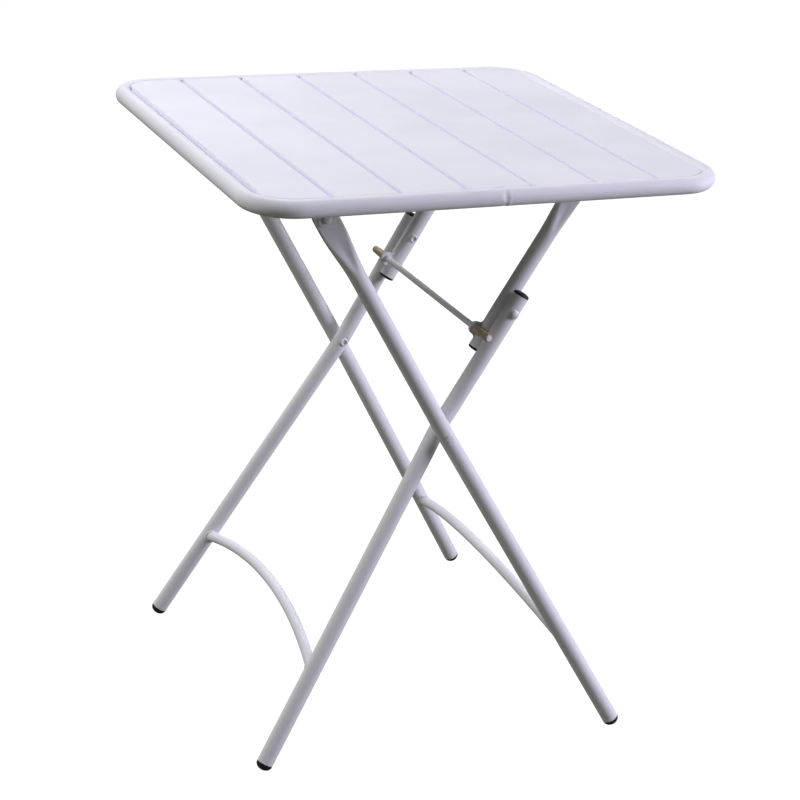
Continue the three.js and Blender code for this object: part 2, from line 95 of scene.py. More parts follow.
FOOT_DOME = 7.4 * MM
INNER_CAP_DOME = 3.2 * MM
LINK_CAP_DOME = 2.2 * MM
ROUND = 48  # facets round a tube
NEAR_RIVET = (12 * MM, 1 * MM)  # half-length and step of the closer sections at a rivet
NEAR_FLAT = (50 * MM, 2.5 * MM)  # the same over a pressed end and its taper

# ---- View ----
CAMERA_PLACE = (-1.0035, -2.1283, 1.3328)
CAMERA_AZIMUTH = -25.67  # from the front, to the left
CAMERA_ELEVATION = 22.27
CAMERA_ROLL = 4.39
CAMERA_SENSOR = 36  # millimetres, as the lens is
CAMERA_LENS = 92.62575
LIGHT_TARGET = Vector((0, 0, 0.45))
LIGHT_DISTANCE = 3.3
LIGHT_SIZE = 1.8
FLOOR_HALF = 30

joint_at = {joint["name"]: Vector(joint["pos_m"]) for joint in frame["joints"]}
CROSS = joint_at["leg_cross"]
LINK_PIVOT = joint_at["link_pivot"]
LINK_HINGE = joint_at["link_hinge"]
Y = Vector((0, 1, 0))
Z = Vector((0, 0, 1))


def box_centre(node):
    low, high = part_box(node)
    return (low + high) / 2


def in_plane(point):
    """The same point moved into the plane y = 0."""
    return Vector((point.x, 0, point.z))


OUTER_HINGE = in_plane(box_centre("outer_hinge_washer_back"))
ROD_AXIS = in_plane(box_centre("lock_rod"))
OUTER_DOWN = (CROSS - OUTER_HINGE).normalized()
INNER_DOWN = (CROSS - LINK_PIVOT).normalized()
LINK_DOWN = (LINK_PIVOT - LINK_HINGE).normalized()
OUTER_REACH = (CROSS - OUTER_HINGE).length
LINK_REACH = (LINK_PIVOT - LINK_HINGE).length
PIVOT_REACH = (CROSS - LINK_PIVOT).length
OUTER_END = (CROSS.z - FOOT_RISE) / -OUTER_DOWN.z
INNER_END = (CROSS.z - FOOT_RISE) / -INNER_DOWN.z
CROSS_LINE = in_plane(CROSS)
PIVOT_LINE = in_plane(LINK_PIVOT)


# ---- Materials ----
def add_node(tree, kind, **values):
    node = tree.nodes.new(kind)
    for key, value in values.items():
        if hasattr(node, key):
            setattr(node, key, value)
        else:
            node.inputs[key.replace("_", " ")].default_value = value
    return node


def mix_colours(tree, mask, first, second):
    mixed = tree.nodes.new("ShaderNodeMix")
    mixed.data_type = "RGBA"
    tree.links.new(mask, mixed.inputs["Factor"])
    for socket, colour in ((mixed.inputs[6], first), (mixed.inputs[7], second)):
        if isinstance(colour, tuple):
            socket.default_value = (*colour, 1)
        else:
            tree.links.new(colour, socket)
    return mixed.outputs[2]


def remap(tree, value, low, high, to_low, to_high):
    mapped = tree.nodes.new("ShaderNodeMapRange")
    tree.links.new(value, mapped.inputs["Value"])
    for name, number in (("From Min", low), ("From Max", high), ("To Min", to_low), ("To Max", to_high)):
        mapped.inputs[name].default_value = number
    return mapped.outputs["Result"]


def new_material(name):
    material = bpy.data.materials.new(name)
    material.use_nodes = True
    tree = material.node_tree
    coordinates = tree.nodes.new("ShaderNodeTexCoord").outputs["Object"]
    return material, tree, tree.nodes["Principled BSDF"], coordinates


def noise_at(tree, coordinates, scale, detail=2.0):
    texture = add_node(tree, "ShaderNodeTexNoise", Scale=scale, Detail=detail)
    tree.links.new(coordinates, texture.inputs["Vector"])
    return texture.outputs["Fac"]


def add_bump(tree, shader, height, distance, strength):
    bump = add_node(tree, "ShaderNodeBump", Strength=strength, Distance=distance)
    tree.links.new(height, bump.inputs["Height"])
    tree.links.new(bump.outputs["Normal"], shader.inputs["Normal"])


def powder_coat(name, groove_shade_heights=None):
    """Baked white powder: a faint lavender white, orange peel, uneven gloss and a few specks.

    The second argument gives the heights between which the colour turns to a deeper lavender: painted shade
    that stands in for the shade in the pressed grooves.
    """
    material, tree, shader, coordinates = new_material(name)
    drift = remap(tree, noise_at(tree, coordinates, 9, 3), 0.35, 0.65, 0, 1)
    body = mix_colours(tree, drift, (0.80, 0.80, 0.835), (0.85, 0.845, 0.872))
    # Painted shade: below these object heights the sheet's colour turns deeper lavender, standing in for the
    # shade that falls in its pressed grooves.
    if groove_shade_heights:
        split = tree.nodes.new("ShaderNodeSeparateXYZ")
        tree.links.new(coordinates, split.inputs["Vector"])
        painted_groove_shade = remap(tree, split.outputs["Z"], groove_shade_heights[0], groove_shade_heights[1], 1, 0)
        body = mix_colours(tree, painted_groove_shade, body, (0.66, 0.64, 0.78))
    cells = add_node(tree, "ShaderNodeTexVoronoi", Scale=42)
    tree.links.new(coordinates, cells.inputs["Vector"])
    speck = remap(tree, cells.outputs["Distance"], 0.022, 0.034, 1, 0)
    rare = remap(tree, noise_at(tree, coordinates, 17, 1), 0.60, 0.64, 0, 0.75)
    both = add_node(tree, "ShaderNodeMath", operation="MULTIPLY")
    tree.links.new(speck, both.inputs[0])
    tree.links.new(rare, both.inputs[1])
    painted = mix_colours(tree, both.outputs[0], body, (0.20, 0.18, 0.15))
    tree.links.new(painted, shader.inputs["Base Color"])
    gloss = remap(tree, noise_at(tree, coordinates, 120, 2), 0.3, 0.7, 0.52, 0.62)
    tree.links.new(gloss, shader.inputs["Roughness"])
    shader.inputs["Specular IOR Level"].default_value = 0.35
    add_bump(tree, shader, noise_at(tree, coordinates, 350, 2), 0.00003, 0.25)
    return material


def black_plastic():
    """Moulded black plastic: fine spark-eroded grain with paler scuffs."""
    material, tree, shader, coordinates = new_material("moulded_black_plastic")
    scuff = remap(tree, noise_at(tree, coordinates, 260, 4), 0.58, 0.75, 0, 0.6)
    colour = mix_colours(tree, scuff, (0.010, 0.010, 0.012), (0.055, 0.055, 0.058))
    tree.links.new(colour, shader.inputs["Base Color"])
    gloss = remap(tree, noise_at(tree, coordinates, 400, 2), 0.3, 0.7, 0.38, 0.58)
    tree.links.new(gloss, shader.inputs["Roughness"])
    add_bump(tree, shader, noise_at(tree, coordinates, 2400, 2), 0.00006, 0.5)
    return material


def tan_plastic():
    """Tan nylon with faint darker streaks along its length."""
    material, tree, shader, coordinates = new_material("tan_nylon")
    stretch = add_node(tree, "ShaderNodeMapping", Scale=(1, 0.12, 1))
    tree.links.new(coordinates, stretch.inputs["Vector"])
    streak = remap(tree, noise_at(tree, stretch.outputs["Vector"], 700, 3), 0.35, 0.65, 0, 1)
    colour = mix_colours(tree, streak, (0.36, 0.27, 0.15), (0.50, 0.42, 0.28))
    tree.links.new(colour, shader.inputs["Base Color"])
    shader.inputs["Roughness"].default_value = 0.42
    add_bump(tree, shader, noise_at(tree, coordinates, 1500, 2), 0.00008, 0.4)
    return material


PAINT = powder_coat("white_powder_coat")
# The sheet's paint carries painted shade: it turns deeper lavender in the pressed grooves, between these
# heights.
SHEET_PAINT_WITH_GROOVE_SHADE = powder_coat("white_powder_coat_sheet_groove_shade", (SHEET_Z - 2.6 * MM, SHEET_Z - 1 * MM))
BLACK = black_plastic()
TAN = tan_plastic()


# ---- Mesh helpers ----
def piece_from(name, points, faces, body, material, replaced=(), sharp=40):
    """A shaded piece that rides on a CAD body and stands for the CAD nodes in replaced."""
    mesh = bpy.data.meshes.new(name)
    mesh.from_pydata([tuple(point) for point in points], [], faces)
    work = bmesh.new()
    work.from_mesh(mesh)
    bmesh.ops.remove_doubles(work, verts=work.verts, dist=1e-6)
    bmesh.ops.recalc_face_normals(work, faces=work.faces)
    work.to_mesh(mesh)
    work.free()
    return dress(bpy.data.objects.new(name, mesh), body, material, replaced, sharp)


def dress(piece, body, material, replaced=(), sharp=40):
    bpy.context.scene.collection.objects.link(piece)
    piece.data.materials.append(material)
    piece.data.shade_smooth()
    piece.data.set_sharp_from_angle(angle=math.radians(sharp))
    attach(piece, body)
    if replaced:
        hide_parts(*replaced)
    return piece


def skin_faces(ring_count, side_count, closed=False):
    faces = []
    for i in range(ring_count if closed else ring_count - 1):
        for k in range(side_count):
            here = i * side_count
            there = (i + 1) % ring_count * side_count
            after = (k + 1) % side_count
            faces.append((here + k, here + after, there + after, there + k))
    if not closed:
        faces.append(tuple(reversed(range(side_count))))
        faces.append(tuple(range((ring_count - 1) * side_count, ring_count * side_count)))
    return faces


def skin_piece(name, rings, body, material, replaced=(), closed=False, sharp=40):
    points = [point for ring in rings for point in ring]
    faces = skin_faces(len(rings), len(rings[0]), closed)
    return piece_from(name, points, faces, body, material, replaced, sharp)


def slot_section(half_width, half_thickness, sides):
    """Points evenly spaced along the outline of a slot, which is a circle when both halves are equal."""
    straight = 2 * (half_width - half_thickness)
    bend = math.pi * half_thickness
    outline = 2 * (straight + bend)
    section = []
    for k in range(sides):
        run = (k / sides) * outline - bend / 2
        if run < bend / 2:
            angle = run / half_thickness
            across = straight / 2 + half_thickness * math.cos(angle)
            section.append((across, half_thickness * math.sin(angle)))
        elif run < bend / 2 + straight:
            section.append((straight / 2 - (run - bend / 2), half_thickness))
        elif run < 1.5 * bend + straight:
            angle = (run - straight) / half_thickness
            across = -straight / 2 + half_thickness * math.cos(angle)
            section.append((across, half_thickness * math.sin(angle)))
        else:
            section.append((-straight / 2 + (run - 1.5 * bend - straight), -half_thickness))
    return section


def spaced(start, end, step):
    count = max(1, math.ceil(abs(end - start) / step))
    return [start + (end - start) * i / count for i in range(count + 1)]


def smooth(share):
    share = min(max(share, 0), 1)
    return share * share * (3 - 2 * share)


def revolved(profile, base, axis):
    """Rings of a solid of revolution: profile holds (radius, distance along axis) pairs."""
    axis = axis.normalized()
    across = axis.orthogonal().normalized()
    up = axis.cross(across)
    rings = []
    for radius, distance in profile:
        radius = max(radius, 0.02 * MM)
        turn = [2 * math.pi * k / ROUND for k in range(ROUND)]
        centre = base + axis * distance
        rings.append([centre + (across * math.cos(a) + up * math.sin(a)) * radius for a in turn])
    return rings


def curve(start, middle, end, t):
    """Point on a curve that leaves start towards middle and arrives at end from it."""
    return start * (1 - t) ** 2 + 2 * middle * t * (1 - t) + end * t ** 2


def rounded(profile, radius, steps=4):
    """The same profile with its inner corners rounded off by short arcs."""
    result = [profile[0]]
    for before, corner, after in zip(profile, profile[1:], profile[2:]):
        here = Vector(corner)
        back = Vector(before) - here
        ahead = Vector(after) - here
        cut = min(radius, back.length * 0.45, ahead.length * 0.45)
        start = here + back.normalized() * cut
        end = here + ahead.normalized() * cut
        for i in range(steps + 1):
            result.append(tuple(curve(start, here, end, i / steps)))
    result.append(profile[-1])
    return result


def dome(radius, height, base, steps=10):
    turn = [math.pi / 2 * i / steps for i in range(steps + 1)]
    return [(radius * math.cos(angle), base + height * math.sin(angle)) for angle in turn]


def mirrored(point, side):
    return Vector((point.x, point.y * side, point.z))


def mirror_rings(rings, side):
    return [[mirrored(point, side) for point in ring] for ring in rings]


SIDES = {"front": -1, "back": 1}


# ---- Table top ----
HALF_X = TABLE[0] / 2 - RIM
HALF_Y = TABLE[1] / 2 - RIM
RIM_Z = TABLE[2] - RIM
SEAM_REACH = 15 * MM


def rim_stations():
    """Centre, outward direction and share of bend all round the rim, with fine steps at its seam."""
    stations = []
    steps = 32
    for corner, (sign_x, sign_y) in enumerate(((1, 1), (-1, 1), (-1, -1), (1, -1))):
        centre = Vector((sign_x * (HALF_X - RIM_CORNER), sign_y * (HALF_Y - RIM_CORNER), RIM_Z))
        for i in range(steps + 1):
            angle = (corner + i / steps) * math.pi / 2
            out = Vector((math.cos(angle), math.sin(angle), 0))
            stations.append((centre + out * RIM_CORNER, out, math.sin(math.pi * i / steps)))
        start = stations[-1][0]
        out = stations[-1][1]
        along = Z.cross(out)
        length = 2 * ((HALF_Y if corner % 2 else HALF_X) - RIM_CORNER)
        runs = spaced(0, length, 9 * MM)[1:-1]
        if out.y < -0.99:  # the front, which holds the seam
            seam = SEAM_X - start.x
            near = spaced(seam - 14 * MM, seam + 14 * MM, 0.7 * MM)
            runs = [run for run in runs if abs(run - seam) > SEAM_REACH] + near
        stations += [(start + along * run, out, 0) for run in sorted(runs)]
    return stations


def bump_at(run, place, width):
    """Bell curve along the rim: 1 at place, and small beyond width."""
    return math.exp(-((run - place) / width) ** 2)


def rim_dent(point, angle):
    """How far the rim's surface moves out at its butt weld: a dressed bead with a shallow dent beside it."""
    run = point.x - SEAM_X
    uneven = 0.75 + 0.5 * noise.noise(Vector((angle * 3, 0, 0)))
    bead = 0.3 * MM * bump_at(run, 0, 1.5 * MM) * uneven
    groove = 0.3 * MM * bump_at(run, -4 * MM, 2.2 * MM)
    dent_side = bump_at(angle, math.radians(20), math.radians(34))
    dent = 0.75 * MM * bump_at(run, -5 * MM, 3.4 * MM) * dent_side
    return bead - groove - dent


def make_rim():
    """Bent tube, a little flattened through its corners."""
    rings = []
    for centre, out, bend in rim_stations():
        wide = RIM * (1 - 0.03 * bend)
        tall = RIM * (1 + 0.006 * bend)
        at_seam = out.y < -0.99 and abs(centre.x - SEAM_X) < SEAM_REACH
        ring = []
        for k in range(ROUND):
            angle = 2 * math.pi * k / ROUND
            grow = rim_dent(centre, angle) if at_seam else 0
            sideways = out * (wide + grow) * math.cos(angle)
            ring.append(centre + sideways + Z * (tall + grow) * math.sin(angle))
        rings.append(ring)
    rim = skin_piece("rim_tube", rings, "table_top", PAINT, ["top_rim"], closed=True)
    cut_drain_hole(rim)


def cut_drain_hole(rim):
    """The small drain hole that is drilled up into the underside of the front of the rim."""
    drill = bmesh.new()
    place = Matrix.Translation((DRAIN_X, -HALF_Y, RIM_Z - RIM))
    size = {"radius1": DRAIN, "radius2": DRAIN, "depth": 9 * MM}
    bmesh.ops.create_cone(drill, cap_ends=True, segments=32, matrix=place, **size)
    mesh = bpy.data.meshes.new("drill")
    drill.to_mesh(mesh)
    drill.free()
    cutter = bpy.data.objects.new("drill", mesh)
    bpy.context.scene.collection.objects.link(cutter)
    cut = rim.modifiers.new("drain_hole", "BOOLEAN")
    cut.operation = "DIFFERENCE"
    cut.solver = "EXACT"
    cut.object = cutter
    apply_modifiers(rim)
    bpy.data.objects.remove(cutter)
    rim.data.set_sharp_from_angle(angle=math.radians(40))


def apply_modifiers(piece):
    evaluated = piece.evaluated_get(bpy.context.evaluated_depsgraph_get())
    made = bpy.data.meshes.new_from_object(evaluated)
    piece.modifiers.clear()
    piece.data = made


def groove_middles():
    return [(i - (GROOVES - 1) / 2) * GROOVE_PITCH for i in range(GROOVES)]


def sheet_height(x):
    """Height of the sheet's upper face at x: pressed grooves, and a step down along each side."""
    drop = 0
    for middle in groove_middles():
        drop += GROOVE_DEPTH * (1 - smooth((abs(x - middle) - GROOVE_FLOOR) / GROOVE_WALL))
    drop += GROOVE_DEPTH * smooth((abs(x) - STEP_START) / STEP_WALL)
    return SHEET_Z - drop


def sheet_columns():
    """Places across the sheet, close together at the grooves and at the steps along its sides."""
    fine = 0.4 * MM
    columns = []
    for middle in groove_middles():
        columns += spaced(middle - 4.8 * MM, middle + 4.8 * MM, fine)
    side = HALF_X - rim_chord(GROOVE_DEPTH + WALL) - 0.3 * MM
    for sign in (-1, 1):
        columns += spaced(sign * 262.4 * MM, sign * side, fine)
        columns += spaced(sign * 224 * MM, sign * 262 * MM, 2 * MM)
    taken = list(columns)
    for x in spaced(-222 * MM, 222 * MM, 6 * MM):
        if min(abs(x - other) for other in taken) > 2 * MM:
            columns.append(x)
    return sorted(columns)


def rim_chord(below):
    """Half-width of the rim's tube at a depth below the sheet's upper face."""
    rise = SHEET_Z - below - RIM_Z
    return math.sqrt(RIM ** 2 - rise ** 2)


def sheet_edge(x):
    """Half-length of the sheet at x: it runs up to the rim, less an uneven gap."""
    inner = RIM_CORNER - rim_chord(SHEET_Z - sheet_height(x) + WALL)
    straight = HALF_X - RIM_CORNER
    over = max(abs(x) - straight, 0)
    reach = HALF_Y - RIM_CORNER + math.sqrt(max(inner ** 2 - over ** 2, 0))
    gap = 0.5 * MM * (1 + noise.noise(Vector((x * 22, 3.7, 0))))
    return reach - gap


def sheet_rows():
    """Places along the sheet, as shares of its half-length, with closer ones at its turned-down ends."""
    ends = [0.994, 0.9965, 0.9985, 1.0]
    return [-share for share in reversed(ends)] + spaced(-1, 1, 0.02)[1:-1] + ends


def border_loop(count, width):
    """Numbers of the points round the edge of a grid of count columns, each width points long."""
    loop = [i * width for i in range(count)]
    loop += [(count - 1) * width + j for j in range(1, width)]
    loop += [i * width + width - 1 for i in reversed(range(count - 1))]
    return loop + list(reversed(range(1, width - 1)))


def make_sheet():
    """Pressed sheet: a grid of columns along Y for its upper and its lower face, closed round its edge."""
    roll = 1.2 * MM
    columns = sheet_columns()
    rows = sheet_rows()
    upper = []
    for x in columns:
        edge = sheet_edge(x)
        for share in rows:
            y = share * edge
            turned_down = 0.6 * MM * (1 - smooth((edge - abs(y)) / roll))
            wave = 0.12 * MM * noise.noise(Vector((x * 9, y * 4, 1.3)))
            upper.append((x, y, sheet_height(x) - turned_down + wave))
    lower = [(x, y, z - WALL) for x, y, z in upper]
    width = len(rows)
    count = len(upper)
    faces = []
    for i in range(len(columns) - 1):
        for j in range(width - 1):
            a = i * width + j
            faces.append((a, a + width, a + width + 1, a + 1))
            faces.append((count + a, count + a + 1, count + a + width + 1, count + a + width))
    loop = border_loop(len(columns), width)
    for here, there in zip(loop, loop[1:] + loop[:1]):
        faces.append((here, there, count + there, count + here))
    piece_from("slatted_sheet", upper + lower, faces, "table_top", SHEET_PAINT_WITH_GROOVE_SHADE, ["top_sheet"], 60)


def rounded_box_section(low, high, radius, steps=5):
    """Points round a rectangle in Y and Z with rounded corners."""
    section = []
    for turn in range(4):
        centre_y = high[0] - radius if turn in (0, 3) else low[0] + radius
        centre_z = high[1] - radius if turn in (0, 1) else low[1] + radius
        for i in range(steps + 1):
            angle = (turn + i / steps) * math.pi / 2
            section.append((centre_y + radius * math.cos(angle), centre_z + radius * math.sin(angle)))
    return section


def make_rail(end):
    """Rectangular tube under the sheet, open at both ends."""
    node = f"cross_rail_{end}"
    low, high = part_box(node)
    outer = rounded_box_section((low.y, low.z), (high.y, high.z), RAIL_CORNER)
    inside = ((low.y + WALL, low.z + WALL), (high.y - WALL, high.z - WALL))
    inner = rounded_box_section(*inside, RAIL_CORNER - WALL)
    rings = []
    for x, section in ((low.x, outer), (high.x, outer), (high.x, inner), (low.x, inner)):
        rings.append([Vector((x, y, z)) for y, z in section])
    skin_piece(f"rail_{end}", rings, "table_top", PAINT, [node], closed=True)


def plate_piece(name, outline, low, high, body, replaced, bevel=0.45 * MM):
    """Plate in the XZ plane from y = low to y = high, with bevelled edges. outline runs round it once."""
    count = len(outline)
    inset = []
    for k, (x, z) in enumerate(outline):
        before = Vector(outline[k - 1])
        after = Vector(outline[(k + 1) % count])
        along = (after - before).normalized()
        inset.append((x - along.y * bevel, z + along.x * bevel))
    rings = []
    for y, ring in ((low, inset), (low + bevel, outline), (high - bevel, outline), (high, inset)):
        rings.append([Vector((x, y, z)) for x, z in ring])
    skin_piece(name, rings, body, PAINT, replaced, sharp=35)


def make_ear(node, piece_name, end):
    """Hanging plate with a round lower end, drawn anticlockwise in X and Z."""
    low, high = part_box(f"{node}_{end}")
    radius = (high.x - low.x) / 2
    middle = (high.x + low.x) / 2
    centre_z = low.z + radius
    outline = [(middle + radius, high.z), (middle - radius, high.z)]
    for i in range(25):
        angle = math.pi + math.pi * i / 24
        outline.append((middle + radius * math.cos(angle), centre_z + radius * math.sin(angle)))
    plate_piece(f"{piece_name}_{end}", outline, low.y, high.y, "table_top", [f"{node}_{end}"])


# ---- Bent and pressed tubes ----
def straight_line(s0, y0, s1, y1):
    return lambda s: y0 + (y1 - y0) * (s - s0) / (s1 - s0)


def leg_offset(down, offsets, top_reach):
    """Distance of a leg's axis from y = 0, with a short bend at the crossing pivot."""
    top, middle, foot = offsets
    above = straight_line(-top_reach, top, 0, middle)
    below = straight_line(0, middle, CROSS.z / -down.z, foot)

    def offset(s):
        if s <= -top_reach:
            return top
        if s <= -KNEE:
            return above(s)
        if s >= KNEE:
            return below(s)
        share = (s + KNEE) / (2 * KNEE)
        return above(s) * (1 - share) + below(s) * share

    return offset


outer_offset = leg_offset(OUTER_DOWN, OUTER_Y, OUTER_REACH - FLAT_LENGTH)
inner_offset = leg_offset(INNER_DOWN, INNER_Y, INNER_TOP)
link_slope = straight_line(FLAT_LENGTH - LINK_REACH, LINK_Y[0], 0, LINK_Y[1])


def link_offset(s):
    if s <= FLAT_LENGTH - LINK_REACH:
        return LINK_Y[0]
    return link_slope(s) if s < 0 else LINK_Y[1]


def station(origin, down, offset, s):
    """Centre of a tube at distance s down it, its direction, and its section's axes."""
    step = 0.5 * MM
    centre = origin + down * s + Y * offset(s)
    ahead = origin + down * (s + step) + Y * offset(s + step)
    back = origin + down * (s - step) + Y * offset(s - step)
    tangent = (ahead - back).normalized()
    across = Y.cross(down).normalized()
    return centre, tangent, across, tangent.cross(across).normalized()


def pressed(s, flat_at):
    """Half-width, half-thickness and depth of the valley of a tube that is pressed flat about flat_at."""
    share = (s - flat_at - FLAT_LENGTH) / FLAT_TAPER
    ease = smooth(share)
    wide = FLAT_HALF_WIDTH + (TUBE - FLAT_HALF_WIDTH) * ease
    thick = FLAT_HALF_THICKNESS + (TUBE - FLAT_HALF_THICKNESS) * ease
    if s < flat_at:
        past = min((flat_at - s) / FLAT_HALF_WIDTH, 1)
        wide = max(FLAT_HALF_WIDTH * (1 - past ** 4) ** 0.25, thick + 0.05 * MM)
    valley = 0.22 * math.sin(math.pi * min(max(share, 0), 1)) ** 2
    return wide, thick, valley


def seat_limit(point, seats):
    """How far from the axis the surface may stand where a rivet's head or tail has pressed it flat."""
    limit = TUBE
    for at in seats:
        away = (in_plane(point) - in_plane(at)).length
        limit = min(limit, SEAT + max(away - SEAT_REACH, 0) * 0.5)
    return limit


def tube_rings(origin, down, offset, stops, flat_at=None, seats=()):
    rings = []
    for s in stops:
        centre, _, across, up = station(origin, down, offset, s)
        wide, thick, valley = (TUBE, TUBE, 0) if flat_at is None else pressed(s, flat_at)
        near_seat = any((in_plane(centre) - in_plane(at)).length < NEAR_RIVET[0] for at in seats)
        ring = []
        for a, b in slot_section(wide, thick, ROUND):
            b *= 1 - valley * math.exp(-(a / (0.42 * wide)) ** 2)
            point = centre + across * a + up * b
            if near_seat:
                rise = point.y - centre.y
                limit = seat_limit(point, seats)
                point.y = centre.y + min(max(rise, -limit), limit)
            ring.append(point)
        rings.append(ring)
    return rings


def tube_stops(start, end, fine=(), flat_at=None):
    """Distances along a tube, closer together at its ends, bends, rivets and pressed end."""
    stops = spaced(start, end, 9 * MM)
    for middle, half, step in fine:
        low = max(middle - half, start)
        high = min(middle + half, end)
        stops = [s for s in stops if not low - step / 2 < s < high + step / 2]
        stops += spaced(low, high, step)
    if flat_at is not None:
        turn = [math.pi / 2 * i / 10 for i in range(11)]
        round_tip = [flat_at - FLAT_HALF_WIDTH * 0.995 * math.cos(angle) for angle in turn]
        stops = [s for s in stops if s > flat_at + 1 * MM] + round_tip
    return sorted(set(round(s, 7) for s in stops))


def make_outer_leg(end, side):
    flat_at = -OUTER_REACH
    fine = [(0, *NEAR_RIVET), (flat_at + NEAR_FLAT[0], *NEAR_FLAT)]
    stops = tube_stops(flat_at, OUTER_END, fine, flat_at)
    rings = tube_rings(CROSS, OUTER_DOWN, outer_offset, stops, flat_at, [CROSS])
    name = f"outer_leg_tube_{end}"
    skin_piece(name, mirror_rings(rings, side), "outer_legs", PAINT, [f"outer_leg_{end}"])


def make_inner_leg(end, side):
    fine = [(0, *NEAR_RIVET), (-PIVOT_REACH, *NEAR_RIVET)]
    stops = tube_stops(-INNER_TOP, INNER_END, fine)
    rings = tube_rings(CROSS, INNER_DOWN, inner_offset, stops, None, [CROSS, LINK_PIVOT])
    name = f"inner_leg_tube_{end}"
    skin_piece(name, mirror_rings(rings, side), "inner_legs", PAINT, [f"inner_leg_{end}"])


def make_link(end, side):
    flat_at = -LINK_REACH
    fine = [(0, *NEAR_RIVET), (flat_at + NEAR_FLAT[0], *NEAR_FLAT)]
    stops = tube_stops(flat_at, LINK_TAIL, fine, flat_at)
    rings = tube_rings(LINK_PIVOT, LINK_DOWN, link_offset, stops, flat_at, [LINK_PIVOT])
    name = f"link_tube_{end}"
    skin_piece(name, mirror_rings(rings, side), "upper_links", PAINT, [f"upper_link_{end}"])


def arch_curve(down, offset, sizes):
    """The brace's centre line, from its middle out to angle, in the plane of its legs' axes."""
    arch_at, rise = sizes
    reach = offset(arch_at)
    radius = (reach ** 2 + rise ** 2) / (2 * rise)
    half = math.asin(reach / radius)
    middle = CROSS + down * (arch_at - rise + radius)

    def at(angle):
        out = Y * math.sin(angle) - down * math.cos(angle)
        return middle + out * radius, out

    return at, half


def make_arch(name, down, offset, sizes, body, node):
    at, half = arch_curve(down, offset, sizes)
    across = Y.cross(down).normalized()
    rings = []
    for angle in spaced(-half, half, half / 40):
        centre, out = at(angle)
        turn = [2 * math.pi * k / ROUND for k in range(ROUND)]
        rings.append([centre + (across * math.cos(a) + out * math.sin(a)) * ARCH for a in turn])
    skin_piece(name, rings, body, PAINT, [node])


# ---- Turned pieces ----
def turned_piece(name, parts, body, material, replaced, side, floor=False):
    """One piece from several solids of revolution, each (profile, base, axis)."""
    points = []
    faces = []
    for profile, base, axis in parts:
        rings = mirror_rings(revolved(profile, base, axis), side)
        start = len(points)
        for ring in rings:
            for point in ring:
                points.append(Vector((point.x, point.y, max(point.z, 0))) if floor else point)
        faces += [tuple(start + k for k in face) for face in skin_faces(len(rings), ROUND)]
    piece_from(name, points, faces, body, material, replaced, 35)


def head_profile(height):
    """Button head whose rim stands off the tube by a thin gap, on a neck that reaches into the tube."""
    sunk = 2.2 * MM
    neck = RIVET_HEAD * 0.8
    edge = 0.6 * MM
    lip = (RIVET_HEAD - 0.1 * MM, 0.1 * MM)
    under = [(0, -sunk), (neck, -sunk), (neck, 0), lip, (RIVET_HEAD, edge)]
    return rounded(under, 0.2 * MM) + dome(RIVET_HEAD, height - edge, edge)[1:]


def tail_profile():
    """Hollow rivet end: a flange on the tube, then its rim rolled outwards round a shallow bore."""
    flange = 5.1 * MM
    crest = 3.8 * MM
    roll = 1.1 * MM
    depth = 3 * MM
    profile = [(0, -depth), (flange, -depth), (flange, 0), (flange - 0.3 * MM, 0.3 * MM)]
    for i in range(11):
        angle = math.pi * i / 10
        profile.append((crest + roll * math.cos(angle), 0.4 * MM + roll * math.sin(angle)))
    bore = crest - roll
    return profile + [(bore - 0.2 * MM, -0.8 * MM), (1 * MM, -0.6 * MM), (0, -0.5 * MM)]


def make_rivet(node, name, at, head_y, tail_y, height, body, end, side):
    parts = [
        (head_profile(height), at + Y * head_y, Y),
        (tail_profile(), at + Y * tail_y, -Y),
    ]
    turned_piece(f"{name}_{end}", parts, body, PAINT, [f"{node}_{end}"], side)


def make_stud(node, name, outward, body, end, side):
    """Button-headed half of a hinge rivet. outward is 1 when its head faces away from the middle."""
    low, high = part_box(f"{node}_back")
    radius = (high.x - low.x) / 2
    length = high.y - low.y
    centre = (low + high) / 2
    shank_end = Vector((centre.x, low.y if outward > 0 else high.y, centre.z))
    shank = 3 * MM
    under = length - 3.4 * MM
    edge = under + 0.6 * MM
    profile = rounded([(0, 0), (shank, 0), (shank, under), (radius, under), (radius, edge)], 0.2 * MM)
    profile += dome(radius, length - edge, edge)[1:]
    parts = [(profile, shank_end, Y * outward)]
    turned_piece(f"{name}_{end}", parts, body, PAINT, [f"{node}_{end}"], side)


def make_washer(node, name, body, end, side):
    low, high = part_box(f"{node}_back")
    radius = (high.x - low.x) / 2
    thick = high.y - low.y
    centre = (low + high) / 2
    profile = rounded([(0, 0), (radius, 0), (radius, thick), (0, thick)], 0.35 * MM)
    parts = [(profile, Vector((centre.x, low.y, centre.z)), Y)]
    turned_piece(f"{name}_{end}", parts, body, PAINT, [f"{node}_{end}"], side)


def make_plug(node, name, origin, down, offset, s, outward, height, body, end, side):
    """Moulded plug: a flange as wide as the tube, then a dome, which is flat where it meets the floor."""
    centre, tangent, _, _ = station(origin, down, offset, s)
    stem = 8.4 * MM
    stem_end = -6 * MM
    seat = 0.05 * MM
    flange = 1.6 * MM
    wide = TUBE - 0.15 * MM
    profile = [(0, stem_end), (stem, stem_end), (stem, seat), (wide, seat), (wide, flange)]
    profile = rounded(profile, 0.25 * MM) + dome(wide, height, flange)[1:]
    parts = [(profile, centre, tangent * outward)]
    turned_piece(f"{name}_{end}", parts, body, BLACK, [f"{node}_{end}"], side, floor=True)


# ---- Lock rod ----
def make_rod():
    low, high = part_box("lock_rod")
    base = Vector((ROD_AXIS.x, low.y, ROD_AXIS.z))
    length = high.y - low.y
    profile = rounded([(0, 0), (ROD, 0), (ROD, length), (0, length)], 0.5 * MM)
    turned_piece("rod", [(profile, base, Y)], "upper_links", PAINT, ["lock_rod"], 1)


